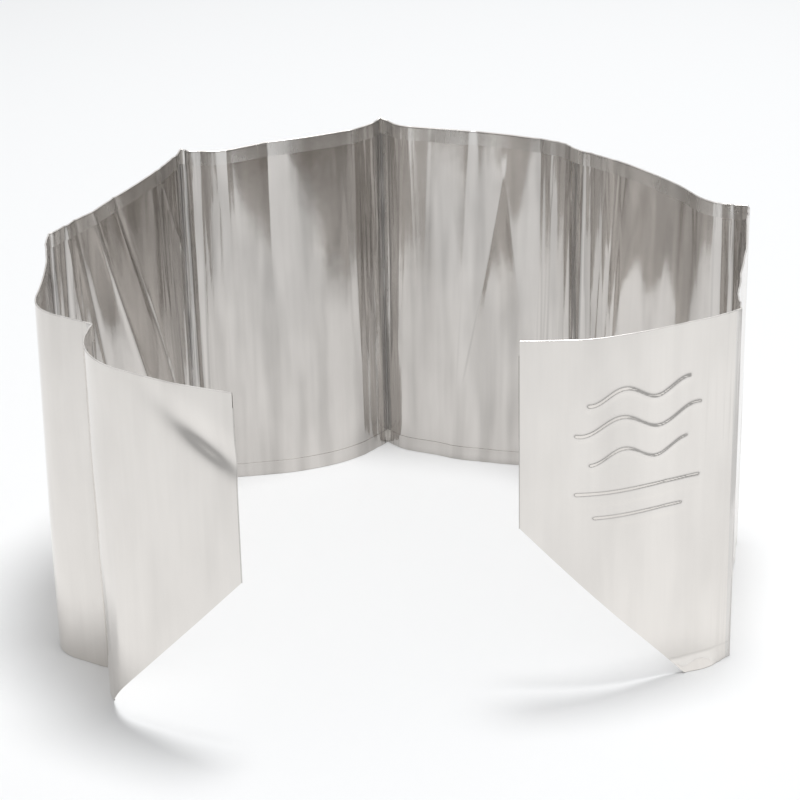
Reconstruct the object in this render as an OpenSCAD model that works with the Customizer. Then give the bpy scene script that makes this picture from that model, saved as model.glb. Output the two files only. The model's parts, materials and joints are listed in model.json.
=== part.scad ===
// Folding foil windscreen. One long sheet of aluminium foil is hemmed along its edges and creased into
// eight equal panels, and it stands on edge as an open ring. The lower free corner of both end panels
// is cut away at a slant, which leaves a way in under the closed ring.

/* [Sheet] */
// Height of the screen, standing on its edge
screen_h = 200; // [160:1:260]
// Width of each panel, from crease to crease
panel_w = 113; // [95:1:140]
// Thickness of the foil
foil_t = 0.2; // [0.15:0.05:0.4]
// How far the foot of the two back panels bows inwards, half way between their creases
foot_bow = 8; // [0:0.5:12]

/* [Hems] */
// Height of the hem folded over along the top and bottom edges
hem_h = 8; // [5:0.5:15]
// Width of the hem folded over at the two free ends
end_hem_w = 6; // [4:0.5:12]
// Air between a panel and the folded layer of a hem
hem_gap = 0.1; // [0.05:0.05:0.3]
// Distance that the hems stop short of a crease
hem_relief = 3; // [2.5:0.5:6]

/* [Corner cuts] */
// Foot left standing at the bottom of an end panel, beside its crease
foot_w = 28; // [18:1:40]
// Height of the slanted cut at the free edge
cut_h = 96; // [60:1:130]

/* [Creases] */
// Radius of the rounded foil on a crease
crease_r = 0.5; // [0.4:0.05:0.8]
// Running clearance between a crease and the panel that turns on it
crease_clearance = 0.08; // [0.05:0.01:0.1]
// Turn at crease 1, in degrees, positive towards the inside of the ring
crease_1_angle = -85; // [-150:1:0]
// Turn at crease 2
crease_2_angle = 27; // [0:1:112]
// Turn at crease 3
crease_3_angle = 71; // [-135:1:100]
// Turn at crease 4
crease_4_angle = 83; // [0:1:128]
// Turn at crease 5
crease_5_angle = -12; // [-150:1:20]
// Turn at crease 6
crease_6_angle = 97; // [0:1:150]
// Turn at crease 7
crease_7_angle = 70; // [-150:1:100]

/* [Hidden] */
// The foil's bows in plan, panel by panel from the left free end. Each is a row of arcs that follow on
// from each other: [share of the panel's width, bend in degrees, positive towards the inside].
bows = [
    [[0.52, 11], [0.48, 85]],
    [[0.22, 3], [0.18, 67], [0.48, -18], [0.12, 21]],
    [[0.5, -4], [0.5, -10]],
    [[0.1, -16], [0.72, -13], [0.18, -17]],
    [[0.15, -30], [0.6, 3], [0.25, 39]],
    [[0.1, -9], [0.62, 24], [0.28, -58]],
    [[0.88, 3], [0.12, -21]],
    [[1, 33]]
];
panels = len(bows);
// Share of the foot's bow that each panel takes, below zero where its foot bows outwards
foot_shares = [0, -0.15, 0.5, 1, 1, 0.5, 0.25, 0];
crease_angles = [
    crease_1_angle, crease_2_angle, crease_3_angle, crease_4_angle,
    crease_5_angle, crease_6_angle, crease_7_angle
];
// Heading of the sheet at the left free edge, anticlockwise from +X
first_angle = 162;
// Longest step along a bow, and the most that one step bends
step_l = 7;
step_angle = 5;

// Inner and outer face of a hem's folded layer, measured inwards from the middle of the foil
layer_near = foil_t / 2 + hem_gap;
layer_far = layer_near + foil_t;
// Length of the bottom edge that a corner cut takes away
cut_run = panel_w - foot_w;
// Overshoot of a cutting shape past the foil
slack = 1;

foil_colour = [0.80, 0.80, 0.78];
hem_colour = [0.88, 0.88, 0.86];
crease_colour = [0.62, 0.62, 0.61];

// Unit vectors along a heading, and square to it towards the inside of the ring
function along(h) = [cos(h), sin(h)];
function inward(h) = [sin(h), -cos(h)];

// A station is [x, y, heading, distance from the panel's start]
function place(q) = [q.x, q.y];
function last(line) = line[len(line) - 1];

// The short moves that follow a bow: [length, bend]
function arc_steps(arc) = ceil(max(arc[0] * panel_w / step_l, abs(arc[1]) / step_angle));
function moves(bow) = [
    for (arc = bow)
        let (n = arc_steps(arc))
            for (i = [1 : n]) [arc[0] * panel_w / n, arc[1] / n]
];

// The stations passed on a row of moves, each move headed along the chord of its own arc
function walk(m, start, heading) = [
    for (
        i = 0, p = start, h = heading, s = 0;
        i <= len(m);
        p = i < len(m) ? p + m[i][0] * along(h - m[i][1] / 2) : p,
        s = i < len(m) ? s + m[i][0] : s,
        h = i < len(m) ? h - m[i][1] : h,
        i = i + 1
    ) [p.x, p.y, h, s]
];

// The line of the panel after a given one, turned at the crease between them
function next_line(line, k) =
    let (q = last(line)) walk(moves(bows[k]), place(q), q[2] - crease_angles[k - 1]);

// The lines of all the panels, from the left free edge placed at the origin
loose_lines = [
    for (
        k = 0, line = walk(moves(bows[0]), [0, 0], first_angle);
        k < panels;
        k = k + 1,
        line = k < panels ? next_line(line, k) : line
    ) line
];

// Middle of the ring's outer bounds, which goes to the origin
rim_points = concat(
    [for (line = loose_lines, q = line, side = [-1, 1]) place(q) + side * foil_t / 2 * inward(q[2])],
    [for (k = [0 : panels - 2], side = [-1, 1]) place(last(loose_lines[k])) + side * crease_r * [1, 1]]
);
middle = [
    for (axis = [0, 1])
        let (v = [for (p = rim_points) p[axis]]) (min(v) + max(v)) / 2
];
lines = [
    for (line = loose_lines) [for (q = line) [q.x - middle.x, q.y - middle.y, q[2], q[3]]]
];

// The station at a distance along a line, and the stretch of a line between two distances
function station(line, s) = [for (i = [0 : 3]) lookup(s, [for (q = line) [q[3], q[i]]])];
function stretch(line, from, to) = concat(
    [station(line, from)],
    [for (q = line) if (q[3] > from + foil_t && q[3] < to - foil_t) q],
    [station(line, to)]
);
function backwards(line) = [for (i = [len(line) - 1 : -1 : 0]) line[i]];

// How far panel k stands inwards of its line at a height: most at the foot, half way between its creases
function sag(k, s, z) = foot_bow * foot_shares[k - 1] * sin(180 * s / panel_w) * (1 - z / screen_h);
// The place on panel k at a station and a height, moved inwards from the middle of the foil
function on_foil(k, q, d, z) = place(q) + (d + sag(k, q[3], z)) * inward(q[2]);

// Two triangles that fill a four-cornered patch, which may be twisted
function patch(a, b, c, d) = [[a, b, c], [a, c, d]];

// A layer of foil that follows panel k's line through a row of heights, between two distances inwards.
// Its section is a narrow upright loop, and each station's loop is joined to the next. The patches of its
// two faces are split along the same diagonal, so that the twisted foil keeps its thickness.
module layer(k, line, near, far, heights) {
    loop = concat([for (z = heights) [far, z]], [for (z = backwards(heights)) [near, z]]);
    n = len(loop);
    end = n * (len(line) - 1);
    points = [for (q = line, p = loop) let (c = on_foil(k, q, p[0], p[1])) [c.x, c.y, p[1]]];
    sides = [
        for (i = [0 : n : end - n], j = [0 : n - 1])
            let (a = i + j, b = i + (j + 1) % n)
                each (j < len(heights) ? patch(a, b, b + n, a + n) : patch(b, b + n, a + n, a))
    ];
    ends = [
        for (j = [0 : len(heights) - 2])
            each concat(
                patch(n - 1 - j, n - 2 - j, j + 1, j),
                patch(end + j, end + j + 1, end + n - 2 - j, end + n - 1 - j)
            )
    ];
    polyhedron(points, concat(sides, ends));
}

// The narrow flat of foil on a fold, as thick as the foil. It reaches from a panel's outer face to the
// inner face of its hem.
module fold_flat(k, line, z, low) {
    edge = concat(
        [for (q = line) on_foil(k, q, -foil_t / 2, z)],
        [for (q = backwards(line)) on_foil(k, q, layer_far, z)]
    );
    translate([0, 0, low]) linear_extrude(foil_t) polygon(edge);
}

// The round of foil on the fold line at a panel's end
module fold_line(q, r, h) {
    translate([q.x, q.y, 0]) cylinder(r = r, h = h, $fn = 32);
}

// What a slanted cut takes off the lower free corner of an end panel. Its edge is straight on the flat
// sheet, so it drops by equal amounts along the bowed foil.
module corner_cut(line, heading) {
    free = line[0];
    slope = cut_h / cut_run;
    ahead = [for (q = line) (place(q) - place(free)) * along(heading)];
    aside = [for (q = line) (place(q) - place(free)) * inward(heading)];
    edge = [for (i = [0 : len(line) - 1]) [ahead[i], cut_h - slope * abs(line[i][3] - free[3])]];
    near = min(aside) - slack;
    far = max(aside) + foil_t;
    translate([free.x, free.y, 0]) rotate([90, 0, heading]) translate([0, 0, near])
        linear_extrude(far - near)
            polygon(concat(
                [[-slack, -slack], [-slack, cut_h + slope * slack]], edge, [[last(ahead), -slack]]
            ));
}

module panel(k) {
    line = lines[k - 1];
    color(foil_colour) difference() {
        layer(k, line, -foil_t / 2, foil_t / 2, [foil_t, hem_h, screen_h - hem_h, screen_h - foil_t]);
        if (k > 1) fold_line(line[0], crease_r + crease_clearance, screen_h);
        if (k < panels) fold_line(last(line), crease_r, screen_h);
        if (k == 1) corner_cut(stretch(line, 0, cut_run), line[0][2]);
        if (k == panels) corner_cut(backwards(stretch(line, foot_w, panel_w)), last(line)[2] + 180);
    }
}

module crease(k) {
    color(crease_colour) fold_line(last(lines[k - 1]), crease_r, screen_h);
}

// Start and end of a hem along its panel: short of the creases, and flush with a free edge
function hem_start(k, at_free_edge) = k == 1 ? at_free_edge : hem_relief;
function hem_end(k, at_free_edge) = k == panels ? at_free_edge : panel_w - hem_relief;

// A hem's layer stands inside the panel and is joined to its edge by the fold
module top_hem(k) {
    line = stretch(lines[k - 1], hem_start(k, 0), hem_end(k, panel_w));
    color(hem_colour) {
        layer(k, line, layer_near, layer_far, [screen_h - hem_h, screen_h - foil_t]);
        fold_flat(k, line, screen_h - foil_t, screen_h - foil_t);
    }
}

module bottom_hem(k) {
    line = stretch(lines[k - 1], hem_start(k, cut_run), hem_end(k, foot_w));
    color(hem_colour) {
        layer(k, line, layer_near, layer_far, [foil_t, hem_h]);
        fold_flat(k, line, foil_t, 0);
    }
}

// The hem of a free edge runs from the slanted cut up to the top hem. Seen from above it goes round the
// fold, which lies just past the panel's edge, and along both faces of its layer. End panels have no sag.
module end_hem(line, side) {
    free = line[0];
    past = place(free) + side * foil_t * along(free[2]);
    outline = concat(
        [for (p = [past, place(free)]) p - foil_t / 2 * inward(free[2])],
        [for (q = line) place(q) + layer_near * inward(q[2])],
        [for (q = backwards(line)) place(q) + layer_far * inward(q[2])],
        [past + layer_far * inward(free[2])]
    );
    color(hem_colour) translate([0, 0, cut_h])
        linear_extrude(screen_h - hem_h - hem_gap - cut_h) polygon(outline);
}

module left_end_hem() {
    end_hem(stretch(lines[0], 0, end_hem_w), -1);
}

module right_end_hem() {
    end_hem(backwards(stretch(lines[panels - 1], panel_w - end_hem_w, panel_w)), 1);
}

for (k = [1 : panels]) panel(k);
for (k = [1 : panels - 1]) crease(k);
for (k = [1 : panels]) top_hem(k);
for (k = [1 : panels]) bottom_hem(k);
left_end_hem();
right_end_hem();
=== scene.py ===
"""Folding foil windscreen: one hemmed and creased sheet of aluminium, standing on edge as an open ring.
Lengths are in metres, in the frame of the CAD model."""
import json
import math

import bpy
import numpy as np
from mathutils import Matrix, Vector


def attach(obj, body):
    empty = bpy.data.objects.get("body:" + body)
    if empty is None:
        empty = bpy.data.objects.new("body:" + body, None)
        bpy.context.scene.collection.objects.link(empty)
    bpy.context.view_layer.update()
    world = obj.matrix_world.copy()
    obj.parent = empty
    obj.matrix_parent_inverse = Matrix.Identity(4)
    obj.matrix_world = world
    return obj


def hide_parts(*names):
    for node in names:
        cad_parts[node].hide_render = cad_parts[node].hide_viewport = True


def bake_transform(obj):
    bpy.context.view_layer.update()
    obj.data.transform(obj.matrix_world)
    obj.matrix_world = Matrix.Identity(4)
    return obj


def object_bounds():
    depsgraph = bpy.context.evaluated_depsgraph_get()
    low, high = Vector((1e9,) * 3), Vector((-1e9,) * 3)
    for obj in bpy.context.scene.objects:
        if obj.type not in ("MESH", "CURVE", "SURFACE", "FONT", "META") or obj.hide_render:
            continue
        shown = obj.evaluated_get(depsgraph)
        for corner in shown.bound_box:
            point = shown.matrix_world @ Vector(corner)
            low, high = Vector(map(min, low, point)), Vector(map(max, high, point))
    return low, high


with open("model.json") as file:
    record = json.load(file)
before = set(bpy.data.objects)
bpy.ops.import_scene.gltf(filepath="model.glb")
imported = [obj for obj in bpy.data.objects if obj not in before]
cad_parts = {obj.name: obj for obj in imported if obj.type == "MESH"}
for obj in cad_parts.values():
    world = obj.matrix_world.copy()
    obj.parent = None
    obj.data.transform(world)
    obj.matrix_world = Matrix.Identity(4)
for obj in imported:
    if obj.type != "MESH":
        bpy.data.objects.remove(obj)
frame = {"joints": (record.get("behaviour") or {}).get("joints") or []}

cad_low, cad_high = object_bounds()


# The sheet. One length of soft rolled aluminium, pressed into eight equal panels by upright creases and
# stood on edge. It was folded flat before, so its panels bow, and pleats run beside every crease.
panel_w = 0.113
foil_t = 0.0002
rim_z = cad_high.z
# Heading of the sheet in plan at its left free edge, and its turn to the right at each crease, in degrees
first_heading = 162
crease_turns = [-85, 27, 71, 83, -12, 97, 70]
# Each panel's bow in plan: arcs of [share of the panel's width, bend in degrees towards the inside]
bows = [
    [[0.52, 11], [0.48, 85]],
    [[0.22, 3], [0.18, 67], [0.48, -18], [0.12, 21]],
    [[0.5, -4], [0.5, -10]],
    [[0.1, -16], [0.72, -13], [0.18, -17]],
    [[0.15, -30], [0.6, 3], [0.25, 39]],
    [[0.1, -9], [0.62, 24], [0.28, -58]],
    [[0.88, 3], [0.12, -21]],
    [[1, 33]],
]
panels = range(1, len(bows) + 1)
creases = range(1, len(bows))
crease_at = {j["name"]: complex(*j["pos_m"][:2]) for j in frame["joints"]}
# Fine steps that a panel's line is added up in, and the length over which its arcs run into each other
line_steps = 1130
arc_blend = 0.010


def box_mean(values, width):
    """Running mean of a row of values, with the row carried on at both ends by its end values."""
    half = width // 2
    return np.convolve(np.pad(values, half, mode="edge"), np.ones(2 * half + 1) / (2 * half + 1), "valid")


def panel_line(bow, start, heading):
    """Points along a panel in plan, as complex numbers, and its heading at the end. The heading falls evenly
    along each arc of the bow, and each point is the one before it plus a short step along the heading half
    way between them."""
    knots = np.cumsum([0] + [share for share, bend in bow]) * panel_w
    turned = np.cumsum([0] + [bend for share, bend in bow])
    s = np.linspace(0, panel_w, line_steps + 1)
    plain = heading - np.interp(s, knots, turned)
    soft = box_mean(plain, round(arc_blend / panel_w * line_steps))
    run = {}
    for name, h in (("plain", plain), ("soft", soft)):
        steps = panel_w / line_steps * np.exp(1j * np.radians((h[1:] + h[:-1]) / 2))
        run[name] = np.concatenate([[0], np.cumsum(steps)])
    # The softened line is turned and stretched a little so that it ends where the plain one does.
    return start + run["soft"] * run["plain"][-1] / run["soft"][-1], plain[-1]


lines = {}
line_start, line_heading = 0j, first_heading
for k in panels:
    lines[k], line_heading = panel_line(bows[k - 1], line_start, line_heading)
    if k in creases:
        line_start, line_heading = lines[k][-1], line_heading - crease_turns[k - 1]
# Every line then goes onto the CAD creases: by both its ends, or in an end panel by its one crease.
for k in panels:
    old_ends = lines[k][0], lines[k][-1]
    here, there = crease_at.get(f"fold_{k - 1}"), crease_at.get(f"fold_{k}")
    if here is None:
        lines[k] = lines[k] - old_ends[1] + there
    elif there is None:
        lines[k] = lines[k] - old_ends[0] + here
    else:
        lines[k] = here + (lines[k] - old_ends[0]) * (there - here) / (old_ends[1] - old_ends[0])

# Bow of each panel's foot towards the inside, half way between its creases, below zero to the outside
foot_bow = {1: 0.0, 2: -0.0012, 3: 0.004, 4: 0.008, 5: 0.008, 6: 0.004, 7: 0.002, 8: 0.0}
# Soft buckles, wide bells in the foil: [depth inwards, place across, place up, half width, half height, lean]
buckle_draw = np.random.default_rng(7)
buckles_per_panel = 6
buckles = {
    k: [
        [
            buckle_draw.choice([-1, 1]) * buckle_draw.uniform(0.0004, 0.0011),
            buckle_draw.uniform(0.15, 0.85) * panel_w,
            buckle_draw.uniform(0.1, 0.9) * rim_z,
            buckle_draw.uniform(0.009, 0.020),
            buckle_draw.uniform(0.05, 0.12),
            buckle_draw.uniform(-0.15, 0.15),
        ]
        for n in range(buckles_per_panel)
    ]
    for k in panels
}
# The panels round the right of the back are buckled more than the rest, and the third one less.
buckle_share = {3: 0.5, 5: 1.3, 6: 1.3, 7: 1.3}
for k, share in buckle_share.items():
    buckles[k] = [[share * deep, *shape] for deep, *shape in buckles[k]]
# A dent below the rim of the first panel, beside its free edge
buckles[1].append([0.0026, 0.014, 0.172, 0.011, 0.018, 1.1])
# Pleats, long straight kinks left by folding: [height inwards, place across, lean, half width, foot, head].
# Beside a crease they stand close and sharp, and a few wide ones cross the middle of a panel.
pleat_draw = np.random.default_rng(11)
pleats_by_crease = 9
pleats_in_middle = 5
# Where the row of pleats beside a crease starts, and how far from the crease their lean is doubled
first_pleat = 0.0012
pleat_fan = 0.010
# How far from each crease its pleats die away
pleat_reach = {1: 0.020, 2: 0.016, 3: 0.012, 4: 0.010, 5: 0.016, 6: 0.012, 7: 0.020}
pleat_tip = 0.0003
pleats = {}
for k in panels:
    pleats[k] = []
    for crease, edge, away in ((k - 1, 0, 1), (k, panel_w, -1)):
        if crease in creases:
            for gap in first_pleat + np.cumsum(pleat_draw.uniform(0.0018, 0.0042, pleats_by_crease)):
                fade = math.exp(-gap / pleat_reach[crease])
                pleats[k].append([
                    pleat_draw.choice([-1, 1]) * pleat_draw.uniform(0.00050, 0.00125) * fade,
                    edge + away * gap,
                    away * pleat_draw.normal(0, 0.010) * (1 + gap / pleat_fan),
                    pleat_draw.uniform(0.0011, 0.0024),
                    pleat_draw.uniform(-0.20, 0.08),
                    pleat_draw.uniform(0.14, 0.40),
                ])
    for n in range(pleats_in_middle):
        pleats[k].append([
            pleat_draw.choice([-1, 1]) * pleat_draw.uniform(0.00030, 0.00080),
            pleat_draw.uniform(0.22, 0.78) * panel_w,
            pleat_draw.normal(0, 0.06),
            pleat_draw.uniform(0.003, 0.008),
            pleat_draw.uniform(-0.10, 0.10),
            pleat_draw.uniform(0.10, 0.30),
        ])

# The pleats across the middle of the panels at the back are faint.
middle_share = {3: 0.2, 5: 0.5, 6: 0.5, 7: 0.5}
for k, share in middle_share.items():
    for pleat in pleats[k][-pleats_in_middle:]:
        pleat[0] *= share
# The two panels at the left end and the last one are calmer than the rest.
calm_share = 0.4
for k in (1, 2, 8):
    pleats[k] = [[calm_share * high, *shape] for high, *shape in pleats[k]]
# Long pleats that fan out over the third panel, and a short one at its rim
pleats[3] += [
    [0.0005, 0.022, -0.10, 0.0018, -0.1, 0.4],
    [-0.0005, 0.036, -0.17, 0.0016, -0.1, 0.4],
    [0.0006, 0.061, -0.29, 0.0018, -0.1, 0.4],
    [-0.0006, 0.082, -0.32, 0.0018, -0.1, 0.4],
    [0.0005, 0.122, -0.32, 0.0018, 0.13, 0.4],
]
# Two wide ones on the fifth panel lean together below the rim
pleats[5] += [
    [-0.0014, 0.056, 0.18, 0.006, 0.05, 0.165],
    [0.0011, 0.079, -0.13, 0.005, 0.08, 0.165],
]


def rise(x, low, high):
    """Smooth step: 0 below low, 1 above high, and 3t^2 - 2t^3 between them."""
    t = np.clip((x - low) / (high - low), 0, 1)
    return t * t * (3 - 2 * t)


# The flat facet in the upper half of the fourth panel, between two soft kinks that take the place of pleats:
# places along the panel, how far inwards the foil stands there, and the heights that it fades out between
facet_s = [0, 0.024, 0.047, 0.095, panel_w]
facet_in = [0, 0.0022, -0.0022, 0.0007, 0]
facet_foot, facet_head = 0.06, 0.17
pleats[4] = pleats[4][:-pleats_in_middle]
# The lip at the foot of the last panel, trodden outwards where the screen stands on it: how far out and how
# high it is, how far from the crease it is full, how it curls, and the depth and pace of its waves
lip_out = 0.0032
lip_h = 0.009
lip_run = 0.014
lip_curl = 1.5
lip_ripple = 0.1
lip_wave = 420
# How far from a crease buckles and pleats reach full depth, and how far round its ends a pleat fades out
buckle_ease = 0.02
pleat_ease = 0.0025
pleat_fade = 0.03


def pleat_span(z, foot, head):
    """1 between the foot and the head of a pleat and 0 outside them, with a smooth step at each end."""
    return rise(z, foot - pleat_fade, foot + pleat_fade) * (1 - rise(z, head - pleat_fade, head + pleat_fade))


def hollow(k, s, z):
    """How far the foil of panel k stands inwards of its plan line: the foot's bow, the soft buckles, each a
    bell that leans, and the pleats, each a kink that falls off evenly to both sides and fades out at its foot
    and head. Panel 4 adds its facet and the last panel its lip. All of it dies away to nothing at a crease,
    so that creases stay straight."""
    from_left = s if k - 1 in creases else np.full_like(s, panel_w)
    from_right = panel_w - s if k in creases else np.full_like(s, panel_w)
    eased = rise(from_left, 0, buckle_ease) * rise(from_right, 0, buckle_ease)
    held = rise(from_left, 0, pleat_ease) * rise(from_right, 0, pleat_ease)
    depth = foot_bow[k] * np.sin(math.pi * s / panel_w) * (1 - z / rim_z)
    for deep, across, up, half_w, half_h, lean in buckles[k]:
        off = s - across - lean * (z - up)
        depth = depth + eased * deep * np.exp(-((off / half_w) ** 2) - ((z - up) / half_h) ** 2)
    for high, across, lean, half_w, foot, head in pleats[k]:
        off = np.sqrt((s - across - lean * (z - rim_z / 2)) ** 2 + pleat_tip ** 2) - pleat_tip
        depth = depth + held * high * np.exp(-off / half_w) * pleat_span(z, foot, head)
    if k == 4:
        depth = depth + np.interp(s, facet_s, facet_in) * rise(z, facet_foot, facet_head)
    if k == panels[-1]:
        trodden = 1 - lip_ripple + lip_ripple * np.sin(lip_wave * s)
        depth = depth - lip_out * trodden * np.clip(1 - z / lip_h, 0, 1) ** lip_curl * rise(s, 0, lip_run)
    return depth


# Half width of the painted shade line along a pleat, and the slope of a pleat whose shade line is darkest
shade_line_w = 0.0009
darkest_shade_slope = 0.40


def painted_pleat_shade(k, s, z):
    """Painted shade on panel k, from 0 to 1, standing in for the dark reflections along its pleats and the
    shade at the fold of its lip: most on the tip line of a steep pleat and on the fold of the lip, and
    falling off from it as a bell."""
    dull = np.zeros_like(s)
    # Painted shade: a dark line along the tip of each steep pleat.
    for high, across, lean, half_w, foot, head in pleats[k]:
        off = s - across - lean * (z - rim_z / 2)
        steep = min(abs(high) / half_w / darkest_shade_slope, 1)
        dull = np.maximum(dull, steep * np.exp(-((off / shade_line_w) ** 2)) * pleat_span(z, foot, head))
    # Painted shade along the fold of the lip.
    if k == panels[-1]:
        dull = np.maximum(dull, np.exp(-(((z - lip_h) / shade_line_w) ** 2)))
    return dull


# Small peaks where the top hem is pinched at the two back creases
peak_height = {3: 0.0018, 4: 0.0022}
peak_reach = 0.005
peak_drop = 0.02


def foil_points(k, s, z, lift=0.0):
    """Points of panel k's foil at distances s along it and heights z: its plan line at s, moved inwards by
    the foil's own hollow and by lift. Inwards is square to the line, on its right."""
    line = lines[k]
    at = np.linspace(0, panel_w, len(line))
    ahead = np.gradient(line)
    inward = -1j * ahead / np.abs(ahead)
    plan = np.interp(s, at, line.real) + 1j * np.interp(s, at, line.imag)
    square = np.interp(s, at, inward.real) + 1j * np.interp(s, at, inward.imag)
    plan = plan + square * (hollow(k, s, z) + lift)
    height = z
    for crease, gap in ((k - 1, s), (k, panel_w - s)):
        if crease in peak_height:
            peak = peak_height[crease] * np.exp(-np.abs(gap) / peak_reach)
            height = height + peak * rise(z, rim_z - peak_drop, rim_z)
    return np.stack([plan.real, plan.imag, height], axis=-1)


# Edges of the foil that turn by more than this are shaded as sharp ones.
sharp_turn = math.radians(50)


def foil_mesh(name, middle, sheet_s, sheet_z, matt, bright):
    """Closed thin shell round a grid of middle points. Both faces stand half the foil's thickness off the
    middle along the grid's own normal, the cross product of its two directions, and a strip round the rim
    joins them. The face on the normal's side is the sheet's matt side, whose colour is partly painted shade,
    and the other one its bright side."""
    across, up = np.gradient(middle, axis=1), np.gradient(middle, axis=0)
    normal = np.cross(across, up)
    normal /= np.linalg.norm(normal, axis=-1, keepdims=True)
    rows, columns = middle.shape[:2]
    count = rows * columns
    points = np.concatenate([
        (middle + normal * foil_t / 2).reshape(-1, 3),
        (middle - normal * foil_t / 2).reshape(-1, 3),
    ])
    number = np.arange(count).reshape(rows, columns)
    low_left, low_right = number[:-1, :-1], number[:-1, 1:]
    top_left, top_right = number[1:, :-1], number[1:, 1:]
    inner = np.stack([low_left, low_right, top_right, top_left], axis=-1).reshape(-1, 4)
    outer = inner[:, ::-1] + count
    round_rim = np.concatenate([number[0, :-1], number[:-1, -1], number[-1, :0:-1], number[:0:-1, 0]])
    after = np.roll(round_rim, -1)
    rim = np.stack([after, round_rim, round_rim + count, after + count], axis=-1)
    faces = np.concatenate([inner, outer, rim])

    mesh = bpy.data.meshes.new(name)
    mesh.vertices.add(len(points))
    mesh.vertices.foreach_set("co", points.astype(np.float32).ravel())
    mesh.loops.add(faces.size)
    mesh.loops.foreach_set("vertex_index", faces.astype(np.int32).ravel())
    mesh.polygons.add(len(faces))
    mesh.polygons.foreach_set("loop_start", np.arange(0, faces.size, 4, dtype=np.int32))
    mesh.update(calc_edges=True)
    mesh.polygons.foreach_set("use_smooth", np.ones(len(faces), bool))
    mesh.set_sharp_from_angle(angle=sharp_turn)
    mesh.materials.append(matt)
    mesh.materials.append(bright)
    mesh.polygons.foreach_set("material_index", (np.arange(len(faces)) >= len(inner)).astype(np.int32))

    # The place on the flat sheet is the UV map. The distance to the nearest crease and the painted shade
    # along the pleats are attributes.
    flat_s = np.tile(np.broadcast_to(sheet_s, middle.shape[:2]).ravel(), 2)
    flat_z = np.tile(np.broadcast_to(sheet_z, middle.shape[:2]).ravel(), 2)
    flat = np.stack([flat_s, flat_z], axis=-1)[faces.ravel()]
    mesh.uv_layers.new(name="sheet").data.foreach_set("uv", flat.astype(np.float32).ravel())
    nearest = np.clip(np.round(flat_s / panel_w), 1, len(bows) - 1)
    gap = mesh.attributes.new("crease_gap", "FLOAT", "POINT")
    gap.data.foreach_set("value", np.abs(flat_s - nearest * panel_w).astype(np.float32))
    # dull holds the painted pleat shade of each point.
    dull = np.zeros(len(flat_s))
    for k in panels:
        here = (flat_s >= (k - 1) * panel_w) & (flat_s <= k * panel_w)
        dull[here] = painted_pleat_shade(k, flat_s[here] - (k - 1) * panel_w, flat_z[here])
    mesh.attributes.new("pleat_shade", "FLOAT", "POINT").data.foreach_set("value", dull.astype(np.float32))
    mesh.validate()
    piece = bpy.data.objects.new(name, mesh)
    bpy.context.collection.objects.link(piece)
    return piece


def node_group(name, inputs, outputs):
    """Empty shader node group with named inputs [name, kind, default] and outputs [name, kind]. Gives the
    group, its input node and its output node."""
    group = bpy.data.node_groups.new(name, "ShaderNodeTree")
    for label, kind, default in inputs:
        socket = group.interface.new_socket(label, in_out="INPUT", socket_type=kind)
        socket.default_value = default
    for label, kind in outputs:
        group.interface.new_socket(label, in_out="OUTPUT", socket_type=kind)
    return group, group.nodes.new("NodeGroupInput"), group.nodes.new("NodeGroupOutput")


def stretched_noise(group, scale, size, detail, roughness=0.5):
    """Noise over the flat sheet, with its own scale across and up."""
    sheet = group.nodes.new("ShaderNodeUVMap")
    sheet.uv_map = "sheet"
    mapping = group.nodes.new("ShaderNodeMapping")
    mapping.inputs["Scale"].default_value = (*scale, 1)
    group.links.new(sheet.outputs["UV"], mapping.inputs["Vector"])
    noise = group.nodes.new("ShaderNodeTexNoise")
    noise.inputs["Scale"].default_value = size
    noise.inputs["Detail"].default_value = detail
    noise.inputs["Roughness"].default_value = roughness
    group.links.new(mapping.outputs["Vector"], noise.inputs["Vector"])
    return noise.outputs["Fac"]


def spread(group, value, low, high, to_low, to_high):
    """Map Range node from low..high to to_low..to_high, clamped and smooth."""
    node = group.nodes.new("ShaderNodeMapRange")
    node.interpolation_type = "SMOOTHSTEP"
    for label, number in (("From Min", low), ("From Max", high), ("To Min", to_low), ("To Max", to_high)):
        node.inputs[label].default_value = number
    group.links.new(value, node.inputs["Value"])
    return node.outputs["Result"]


def combine(group, operation, a, b):
    """Math node on two sockets, or on a socket and a number."""
    node = group.nodes.new("ShaderNodeMath")
    node.operation = operation
    for socket, value in zip(node.inputs, (a, b)):
        if isinstance(value, (int, float)):
            socket.default_value = value
        else:
            group.links.new(value, socket)
    return node.outputs[0]


# Rolling marks: faint upright lines, slow clouds, broad bands and a fine grain left by the mill's rollers.
# Shade is how dull they leave the colour, Polish how rough they leave the surface, and Banding how strong the
# bands are.
streak_shade = 0.06
cloud_shade = 0.30
streak_polish = 0.1
rolling, rolling_in, rolling_out = node_group(
    "rolling marks", [("Banding", "NodeSocketFloat", 0.35)],
    [(label, "NodeSocketFloat") for label in ("Shade", "Polish", "Grain")],
)
streaks = stretched_noise(rolling, scale=(1, 0.05), size=420, detail=3, roughness=0.6)
streaks = spread(rolling, streaks, 0.3, 0.7, 0, 1)
clouds = stretched_noise(rolling, scale=(1, 0.4), size=26, detail=3)
clouds = spread(rolling, clouds, 0.3, 0.7, 0, 1)
bands = stretched_noise(rolling, scale=(1, 0.10), size=70, detail=2, roughness=0.55)
bands = combine(rolling, "MULTIPLY", spread(rolling, bands, 0.42, 0.66, 0, 1), rolling_in.outputs["Banding"])
grain = stretched_noise(rolling, scale=(1, 0.7), size=1900, detail=2)
shade = combine(rolling, "MULTIPLY", streaks, streak_shade)
shade = combine(rolling, "ADD", shade, combine(rolling, "MULTIPLY", clouds, cloud_shade))
shade = combine(rolling, "ADD", shade, bands)
polish = combine(rolling, "ADD", combine(rolling, "MULTIPLY", streaks, streak_polish), clouds)
rolling.links.new(shade, rolling_out.inputs["Shade"])
rolling.links.new(polish, rolling_out.inputs["Polish"])
rolling.links.new(grain, rolling_out.inputs["Grain"])
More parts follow.
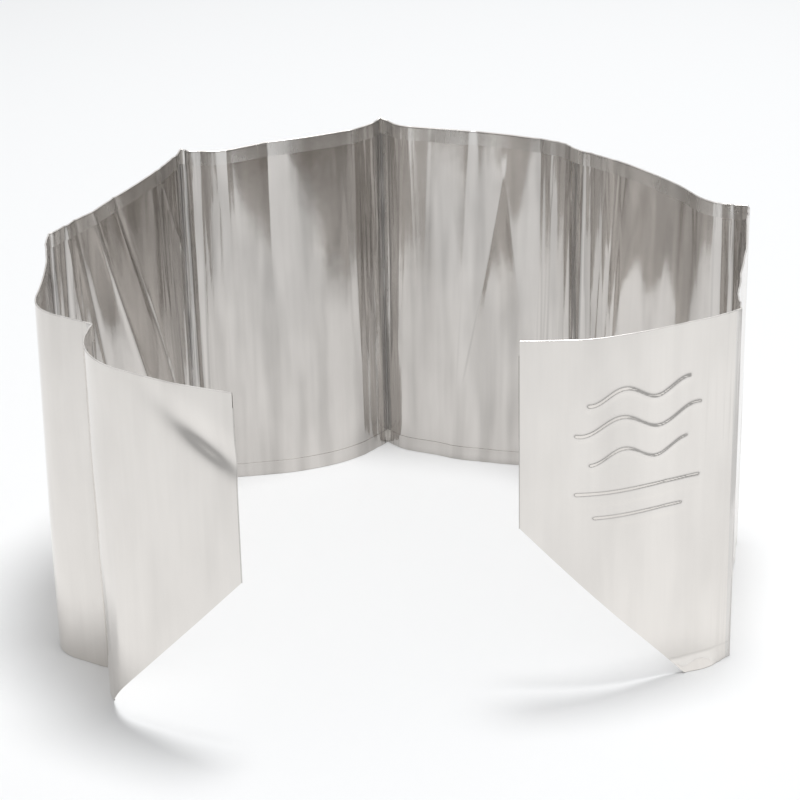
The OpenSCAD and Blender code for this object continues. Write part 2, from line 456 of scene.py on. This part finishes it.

# Crumple: the fine unevenness of foil that was folded, strongest beside the creases, the wear on them, and
# painted shade: dark lines beside the creases and along the pleats, standing in for the shade and dark
# reflections in the pleats. Its share input says how strong those painted lines are.
dent_share = 0.5
crumple, crumple_in, crumple_out = node_group(
    "crumple", [("Pleat shade share", "NodeSocketFloat", 1.0)],
    [(label, "NodeSocketFloat") for label in ("Height", "Worn", "Pleat shade")],
)
crease_gap = crumple.nodes.new("ShaderNodeAttribute")
crease_gap.attribute_name = "crease_gap"
beside = spread(crumple, crease_gap.outputs["Fac"], 0.002, 0.026, 1, 0.05)
folds = stretched_noise(crumple, scale=(1, 0.10), size=260, detail=2, roughness=0.55)
dents = stretched_noise(crumple, scale=(1, 0.6), size=60, detail=2)
uneven = combine(crumple, "MULTIPLY", folds, beside)
uneven = combine(crumple, "ADD", uneven, combine(crumple, "MULTIPLY", dents, dent_share))
crumple.links.new(uneven, crumple_out.inputs["Height"])
worn = combine(crumple, "MULTIPLY", spread(crumple, crease_gap.outputs["Fac"], 0.0002, 0.0030, 1, 0), folds)
crumple.links.new(spread(crumple, worn, 0.25, 0.6, 0, 1), crumple_out.inputs["Worn"])
# Painted shade: dark lines beside the creases, standing in for the shade and dark reflections in the pleats,
# joined below by the painted pleat shade attribute.
pleat_shade_noise = stretched_noise(crumple, scale=(1, 0.02), size=300, detail=2, roughness=0.6)
shaded_pleats = combine(
    crumple, "MULTIPLY", spread(crumple, pleat_shade_noise, 0.48, 0.58, 0, 1),
    spread(crumple, crease_gap.outputs["Fac"], 0.002, 0.017, 0.9, 0),
)
pleat_shade = crumple.nodes.new("ShaderNodeAttribute")
pleat_shade.attribute_name = "pleat_shade"
shaded_pleats = combine(crumple, "MAXIMUM", shaded_pleats, pleat_shade.outputs["Fac"])
shaded_pleats = combine(crumple, "MULTIPLY", shaded_pleats, crumple_in.outputs["Pleat shade share"])
crumple.links.new(shaded_pleats, crumple_out.inputs["Pleat shade"])

grain_height = 0.000006


def foil_material(name, clean, dull, smooth, rough, crumple_height, banding=0.35, pleat_shade_share=1.0):
    """Rolled aluminium: the rolling marks mix its clean and dull colour and its smooth and rough polish, worn
    creases are duller, painted shade darkens the pleat lines, and the crumple and the grain raise it as two
    bumps, each of its own height."""
    material = bpy.data.materials.new(name)
    material.use_nodes = True
    tree = material.node_tree
    shader = tree.nodes["Principled BSDF"]
    shader.inputs["Metallic"].default_value = 1.0
    marks, creased = tree.nodes.new("ShaderNodeGroup"), tree.nodes.new("ShaderNodeGroup")
    marks.node_tree, creased.node_tree = rolling, crumple
    marks.inputs["Banding"].default_value = banding
    creased.inputs["Pleat shade share"].default_value = pleat_shade_share

    colour = tree.nodes.new("ShaderNodeMix")
    colour.data_type = "RGBA"
    colour.inputs["A"].default_value = (*clean, 1)
    colour.inputs["B"].default_value = (*dull, 1)
    # The colour is dulled by the rolling marks and the crease wear, and darkened by the painted pleat shade.
    dull_and_shade = combine(tree, "MAXIMUM", marks.outputs["Shade"], creased.outputs["Worn"])
    dull_and_shade = combine(tree, "MAXIMUM", dull_and_shade, creased.outputs["Pleat shade"])
    tree.links.new(dull_and_shade, colour.inputs["Factor"])
    tree.links.new(colour.outputs["Result"], shader.inputs["Base Color"])

    roughened = combine(tree, "ADD", marks.outputs["Polish"], creased.outputs["Worn"])
    tree.links.new(spread(tree, roughened, 0.1, 1.2, smooth, rough), shader.inputs["Roughness"])

    crumple_bump = tree.nodes.new("ShaderNodeBump")
    crumple_bump.inputs["Distance"].default_value = crumple_height
    tree.links.new(creased.outputs["Height"], crumple_bump.inputs["Height"])
    grain_bump = tree.nodes.new("ShaderNodeBump")
    grain_bump.inputs["Distance"].default_value = grain_height
    tree.links.new(marks.outputs["Grain"], grain_bump.inputs["Height"])
    tree.links.new(crumple_bump.outputs["Normal"], grain_bump.inputs["Normal"])
    tree.links.new(grain_bump.outputs["Normal"], shader.inputs["Normal"])
    return material


# Foil is rolled two sheets at a time: the side on the rollers comes out bright, the side between them matt.
# The bright side faces out here. The matt side faces the inside of the ring, and its colour is partly its own
# matt finish and partly painted shade for the inside of the ring. The bright side shows inside again,
# scuffed, where a top hem is folded over, and the bottom hems take the matt, shaded material on both faces.
bright_foil = foil_material(
    "bright foil", clean=(0.81, 0.778, 0.742), dull=(0.62, 0.595, 0.567), smooth=0.08, rough=0.17,
    crumple_height=0.00020, banding=0.16, pleat_shade_share=0.6,
)
# The matt side, inside the ring: its dark colours are partly the matt finish and partly painted shade.
matt_and_shaded_foil = foil_material(
    "matt and shaded foil", clean=(0.68, 0.653, 0.626), dull=(0.35, 0.335, 0.320), smooth=0.10, rough=0.18,
    crumple_height=0.00030,
)
hem_foil = foil_material(
    "hem foil", clean=(0.73, 0.709, 0.685), dull=(0.42, 0.407, 0.392), smooth=0.20, rough=0.34,
    crumple_height=0.00040,
)


# Panels. The eight bowed stretches of foil between the creases, the outermost two with their lower free
# corner cut off at a slant. They are one sheet, bent on the creases and folded over at top and bottom.
crease_half_w = 0.003
hem_fold_r = 0.00035
cut_h = 0.096
foot_w = 0.028
cut_slope = cut_h / (panel_w - foot_w)
panel_rows = 110
# The last panel has more rows, for the pressed mark, and they crowd together towards its lip.
last_rows = 210
row_crowding = 1.25
# Columns of a panel's grid lie closer together beside its ends, where the pleats are.
side_w = 0.028
side_columns = 64
middle_columns = 100
# The mark pressed into the last panel: three waves one above the other and two bars below them
mark_place = (0.054, 0.140)
mark_height = 0.00075
wave_w = 0.0015
wave_end = 0.002
waves = [[0.026, 0.056, 0.0036, 0.034], [0.010, 0.068, 0.0042, 0.040], [-0.007, 0.054, 0.0036, 0.034]]
bars = [[-0.029, 0.066, 0.007], [-0.042, 0.048, 0.005]]
bar_edge = 0.0014


def pressed_mark(s, z):
    """Height of the pressed mark: a rounded ridge along each wave [place up, length, swing, wave length], by
    the distance square to a sine curve, and a raised pad for each bar [place up, length, height]."""
    across, up = s - mark_place[0], z - mark_place[1]
    raised = np.zeros_like(s)
    for place_up, length, swing, wave_length in waves:
        turn = 2 * math.pi * across / wave_length
        steep = 2 * math.pi * swing / wave_length * np.cos(turn)
        off = (up - place_up - swing * np.sin(turn)) / np.sqrt(1 + steep ** 2)
        ends = 1 - rise(np.abs(across), length / 2 - wave_end, length / 2)
        raised = np.maximum(raised, np.exp(-((off / wave_w) ** 2)) * ends)
    for place_up, length, height in bars:
        beside = 1 - rise(np.abs(across), length / 2 - bar_edge, length / 2 + bar_edge)
        above = 1 - rise(np.abs(up - place_up), height / 2 - bar_edge, height / 2 + bar_edge)
        raised = np.maximum(raised, beside * above)
    return mark_height * raised


def panel_ends(k):
    """First and last distance along panel k that its own piece covers: up to its creases' strips."""
    return (crease_half_w if k - 1 in creases else 0), (panel_w - crease_half_w if k in creases else panel_w)


def foot_z(k, s):
    """Height of a panel's lower edge: its bottom fold, or the slant that drops evenly from the free edge."""
    if k == panels[0]:
        return np.maximum(hem_fold_r, cut_h - cut_slope * s)
    if k == panels[-1]:
        return np.maximum(hem_fold_r, cut_h - cut_slope * (panel_w - s))
    return np.full_like(s, hem_fold_r)


for k in panels:
    first, last = panel_ends(k)
    knee = {panels[0]: [panel_w - foot_w], panels[-1]: [foot_w]}.get(k, [])
    s = np.unique(np.concatenate([
        np.linspace(first, side_w, side_columns),
        np.linspace(side_w, panel_w - side_w, middle_columns),
        np.linspace(panel_w - side_w, last, side_columns),
        knee,
    ]))
    up = np.linspace(0, 1, last_rows) ** row_crowding if k == panels[-1] else np.linspace(0, 1, panel_rows)
    z = foot_z(k, s) + up[:, None] * (rim_z - hem_fold_r - foot_z(k, s))
    s = np.broadcast_to(s, z.shape)
    mark = -pressed_mark(s, z) if k == panels[-1] else 0.0
    panel = foil_mesh(
        f"foil_panel_{k}", foil_points(k, s, z, mark), (k - 1) * panel_w + s, z, matt_and_shaded_foil, bright_foil
    )
    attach(panel, f"leaf_{k}")
    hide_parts(f"panel_{k}")


# Top and bottom hems. The sheet's long edges are folded over to the inside and pressed down, which stiffens
# them and turns the raw edge in. The folded layer lies a hair off the panel and ends in that edge.
hem_h = 0.008
hem_ripple = 0.00035
# Pace of the waves along a top hem, and how far and how fast that pace wanders
ripple_pace = 130
ripple_drift = 1.3
drift_pace = 53
# How far a layer is pressed back onto the panel, and the share of its width by which it lies there
tuck_in = 2 * hem_fold_r - foil_t
tuck_share = 0.8
hem_columns = 150
fold_rows = 7
layer_rows = 9


def hem_profile(steps_round, steps_down):
    """A hem in section, from the panel's edge: half a circle over to the inside, then straight along the
    panel. Gives how far each point stands inwards and how far it is from the fold's top."""
    turn = np.linspace(0, math.pi, steps_round)
    inwards = np.concatenate([hem_fold_r * (1 - np.cos(turn)), np.full(steps_down, 2 * hem_fold_r)])
    along = np.linspace(hem_fold_r, hem_h, steps_down + 1)[1:]
    drop = np.concatenate([hem_fold_r * (1 - np.sin(turn)), along])
    return inwards[:, None], drop[:, None]


def hem_lift(s_on_sheet, inwards, drop, pressed):
    """The folded layer of a top hem stands off the panel a little more towards its cut edge, in slow waves
    along the sheet. That of a bottom hem is pressed onto the panel there by the weight on it."""
    along_layer = np.clip((drop - hem_fold_r) / (hem_h - hem_fold_r), 0, 1)
    wave = 0.5 + 0.5 * np.sin(ripple_pace * s_on_sheet + ripple_drift * np.sin(drift_pace * s_on_sheet))
    loose = hem_ripple * wave * along_layer
    tucked = -tuck_in * rise(along_layer, 0, tuck_share)
    return inwards + np.where(pressed, tucked, loose)


def hem_piece(name, k, s, at_top):
    """The hem's section carried along panel k, at its top edge or turned over at its bottom edge."""
    inwards, drop = hem_profile(fold_rows, layer_rows)
    on_sheet = (k - 1) * panel_w + s
    lift = hem_lift(on_sheet, inwards, drop, not at_top)
    z = np.broadcast_to(rim_z - drop if at_top else drop, lift.shape)
    middle = foil_points(k, np.broadcast_to(s, lift.shape), z, lift)
    if not at_top:
        middle, z = middle[::-1], z[::-1]
    return foil_mesh(name, middle, on_sheet, z, matt_and_shaded_foil, hem_foil if at_top else matt_and_shaded_foil)


for k in panels:
    first, last = panel_ends(k)
    for edge, at_top in (("top", True), ("bottom", False)):
        low, high = first, last
        if not at_top and k == panels[0]:
            low = panel_w - foot_w
        if not at_top and k == panels[-1]:
            high = foot_w
        hem = hem_piece(f"{edge}_fold_{k}", k, np.linspace(low, high, hem_columns), at_top)
        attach(hem, f"leaf_{k}")
        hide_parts(f"{edge}_hem_{k}")


# Creases. The upright fold lines, pressed into the sheet and its hems and bent back and forth, so the foil
# there is duller. Each is a strip of the sheet shaped from the two panels that it joins, baked in place
# rather than attached to either of them.
crease_columns = 31
crease_round = 5
bright_crease = foil_material(
    "bright crease", clean=(0.78, 0.758, 0.733), dull=(0.56, 0.545, 0.525), smooth=0.16, rough=0.34,
    crumple_height=0.00030,
)
# The matt side of a crease, inside the ring: partly its own matt finish, partly painted shade.
matt_and_shaded_crease = foil_material(
    "matt and shaded crease", clean=(0.62, 0.60, 0.58), dull=(0.32, 0.31, 0.30), smooth=0.14, rough=0.30,
    crumple_height=0.00035,
)
for k in creases:
    half = crease_columns // 2
    from_left = panel_w - np.linspace(crease_half_w, 0, half + 1)
    to_right = np.linspace(0, crease_half_w, half + 1)[1:]
    inwards, drop = hem_profile(fold_rows, layer_rows)
    wall = np.linspace(rim_z - hem_fold_r, hem_fold_r, panel_rows)[1:-1, None]
    z = np.concatenate([rim_z - drop[::-1], wall, drop])
    inwards = np.concatenate([inwards[::-1], np.zeros_like(wall), inwards])
    drop = np.concatenate([drop[::-1], np.zeros_like(wall), drop])
    at_foot = z < rim_z / 2
    sides = []
    for panel_k, s in ((k, from_left), (k + 1, to_right)):
        on_sheet = np.broadcast_to((panel_k - 1) * panel_w + s, (len(z), len(s)))
        flat = foil_points(panel_k, np.broadcast_to(s, on_sheet.shape), np.broadcast_to(z, on_sheet.shape))
        sides.append((flat, hem_lift(on_sheet, inwards, drop, at_foot), on_sheet))
    middle, lift, on_sheet = (np.concatenate(part, axis=1) for part in zip(*sides))
    # The fold line is rounded by a running mean across it, and the hems stand off square to the result.
    round_off = crease_round // 2
    smooth = middle.copy()
    for n in range(round_off, crease_columns - round_off):
        smooth[:, n] = middle[:, n - round_off:n + round_off + 1].mean(axis=1)
    ahead = np.gradient(smooth[..., 0] + 1j * smooth[..., 1], axis=1)
    inward = -1j * ahead / np.abs(ahead)
    smooth[..., 0] += inward.real * lift
    smooth[..., 1] += inward.imag * lift
    crease = foil_mesh(
        f"crease_fold_{k}", smooth[::-1], on_sheet[::-1], np.broadcast_to(z, on_sheet.shape)[::-1],
        matt_and_shaded_crease, bright_crease,
    )
    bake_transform(crease)
    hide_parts(f"crease_{k}")


# End hems. The two free edges are folded over to the inside too, in a narrower band between the slanted cut
# and the top hem, so that no sharp edge is handled when the ring is opened.
end_hem_w = 0.006
end_rows = 60
for name, k, side in (("left", panels[0], 1), ("right", panels[-1], -1)):
    turn = np.linspace(0, math.pi, fold_rows)
    along = np.concatenate([-hem_fold_r * np.sin(turn), np.linspace(0, end_hem_w, layer_rows + 1)[1:]])
    pressed = tuck_in * rise(np.linspace(0, 1, layer_rows), 0, tuck_share)
    lift = np.concatenate([hem_fold_r * (1 - np.cos(turn)), 2 * hem_fold_r - pressed])
    low = cut_h - cut_slope * np.clip(along, 0, None)
    z = low + np.linspace(0, 1, end_rows)[:, None] * (rim_z - hem_h - low)
    s = np.broadcast_to(along if side == 1 else panel_w - along, z.shape)
    middle = foil_points(k, np.clip(s, 0, panel_w), z, np.broadcast_to(lift, z.shape))
    past = np.where(side == 1, np.minimum(s, 0), np.maximum(s - panel_w, 0))
    ahead = lines[k][1] - lines[k][0] if side == 1 else lines[k][-1] - lines[k][-2]
    ahead /= abs(ahead)
    middle[..., 0] += past * ahead.real
    middle[..., 1] += past * ahead.imag
    if side == -1:
        middle, s, z = middle[:, ::-1], s[:, ::-1], z[:, ::-1]
    end_hem = foil_mesh(f"{name}_end_fold", middle, (k - 1) * panel_w + s, z, matt_and_shaded_foil, bright_foil)
    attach(end_hem, f"leaf_{k}")
    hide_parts(f"{name}_end_hem")


# The studio: a white floor, an even white surround and one large soft lamp overhead. The surround is white
# where it is seen or mirrored, and dimmer as a light of its own, so that the lamp's shadows stay.
floor_colour = (0.93, 0.94, 0.95)
floor_side = 8.0
surround_glow = 0.46
floor_mesh = bpy.data.meshes.new("floor")
corners = np.array([[-1, -1, 0], [1, -1, 0], [1, 1, 0], [-1, 1, 0]]) * floor_side / 2
floor_mesh.from_pydata(corners.tolist(), [], [(0, 1, 2, 3)])
floor = bpy.data.objects.new("floor", floor_mesh)
bpy.context.collection.objects.link(floor)
floor_white = bpy.data.materials.new("floor white")
floor_white.use_nodes = True
floor_shader = floor_white.node_tree.nodes["Principled BSDF"]
floor_shader.inputs["Base Color"].default_value = (*floor_colour, 1)
floor_shader.inputs["Roughness"].default_value = 0.9
floor_shader.inputs["Specular IOR Level"].default_value = 0.0
floor_mesh.materials.append(floor_white)

world = bpy.data.worlds.new("surround")
world.use_nodes = True
background = world.node_tree.nodes["Background"]
background.inputs["Color"].default_value = (1, 1, 1, 1)
ray = world.node_tree.nodes.new("ShaderNodeLightPath").outputs
seen = combine(world.node_tree, "MAXIMUM", ray["Is Camera Ray"], ray["Is Glossy Ray"])
seen = combine(world.node_tree, "MAXIMUM", seen, ray["Is Transmission Ray"])
glow = spread(world.node_tree, seen, 0, 1, surround_glow, 1.0)
world.node_tree.links.new(glow, background.inputs["Strength"])
bpy.context.scene.world = world


def soft_lamp(name, place, aim, radius, reach, power):
    """Wide soft spot lamp that lights a pool of the floor of that reach round the point it is aimed at."""
    data = bpy.data.lights.new(name, "SPOT")
    away = Vector(aim) - Vector(place)
    data.shadow_soft_size = radius
    data.spot_size = 2 * math.atan(reach / away.length)
    data.spot_blend = 0.6
    data.energy = power
    lamp = bpy.data.objects.new(name, data)
    lamp.location = place
    lamp.rotation_euler = away.to_track_quat("-Z", "Y").to_euler()
    bpy.context.collection.objects.link(lamp)


soft_lamp("lamp overhead", place=(0.25, 0.05, 3.0), aim=(0.1, 0.2, 0), radius=0.45, reach=1.30, power=222)

# The camera stands in front and looks down at the screen, as in the photograph, with a narrow view and a
# slight roll.
view_point = Vector((-0.0016, 0.0180, 0.100))
view_distance = 1.6913
view_pitch = math.radians(29.55)
view_roll = math.radians(-1.25)
view_angle = math.radians(14)
camera_data = bpy.data.cameras.new("camera")
camera_data.sensor_fit = "HORIZONTAL"
camera_data.angle = view_angle
camera = bpy.data.objects.new("camera", camera_data)
bpy.context.collection.objects.link(camera)
looks_along = Vector((0, math.cos(view_pitch), -math.sin(view_pitch)))
tilt = Matrix.Rotation(math.pi / 2 - view_pitch, 4, "X") @ Matrix.Rotation(view_roll, 4, "Z")
camera.matrix_world = Matrix.Translation(view_point - looks_along * view_distance) @ tilt
bpy.context.scene.camera = camera
bpy.context.scene.view_settings.view_transform = "Standard"
